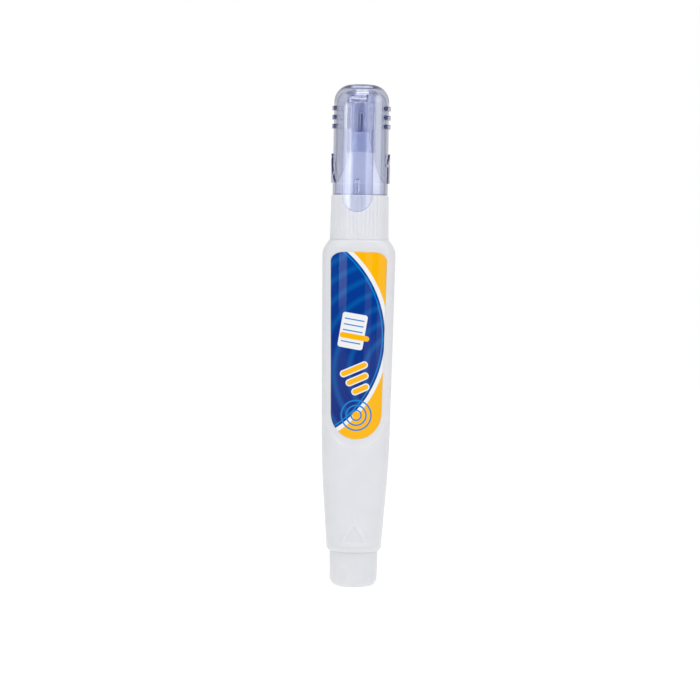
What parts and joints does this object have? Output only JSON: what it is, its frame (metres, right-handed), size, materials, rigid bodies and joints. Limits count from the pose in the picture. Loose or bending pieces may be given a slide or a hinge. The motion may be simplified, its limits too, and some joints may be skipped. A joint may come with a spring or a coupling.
{
  "type": "correction pen",
  "caption": "Slim squeeze correction pen: oval white bottle on a scooped tail, ribbed collar, metal valve tip and a clear tinted cap with a pocket clip.",
  "frame": {"origin": "centre of the flat end of the tail, which the pen stands on", "axes": "+Z along the pen from tail to cap; the label and the pocket clip face -Y; +X to the right of the label"},
  "size_m": [0.0192, 0.0175, 0.132],
  "materials": {
    "bottle_plastic": "satin moulded polyethylene",
    "head_plastic": "satin moulded polypropylene",
    "label_film": "glossy printed film",
    "tip_metal": "turned and polished",
    "spring_steel": "drawn wire",
    "ball_steel": "polished",
    "cap_plastic": "clear moulded styrene, blue tint"
  },
  "bodies": {
    "barrel": {"bottle": "bottle_plastic", "tail_plug": "bottle_plastic", "front_label": "label_film", "nozzle_head": "head_plastic", "metal_tip": "tip_metal", "spring_seat": "head_plastic", "valve_spring": "spring_steel"},
    "cap": {"cap": "cap_plastic"},
    "needle": {"valve_needle": "tip_metal"},
    "ball": {"mixing_ball": "ball_steel"}
  },
  "joints": [
    {"name": "cap_pull", "type": "slide", "parent": "barrel", "child": "cap", "axis": [0, 0, 1], "range_m": [0, 0.035]},
    {"name": "needle_press", "type": "slide", "parent": "barrel", "child": "needle", "axis": [0, 0, -1], "range_m": [0, 0.0006], "stiffness_N_per_m": 300, "springref_m": -0.0008, "deforming": ["valve_spring"]},
    {"name": "ball_roll", "type": "slide", "parent": "barrel", "child": "ball", "axis": [0, 0, 1], "range_m": [0, 0.0899]}
  ]
}
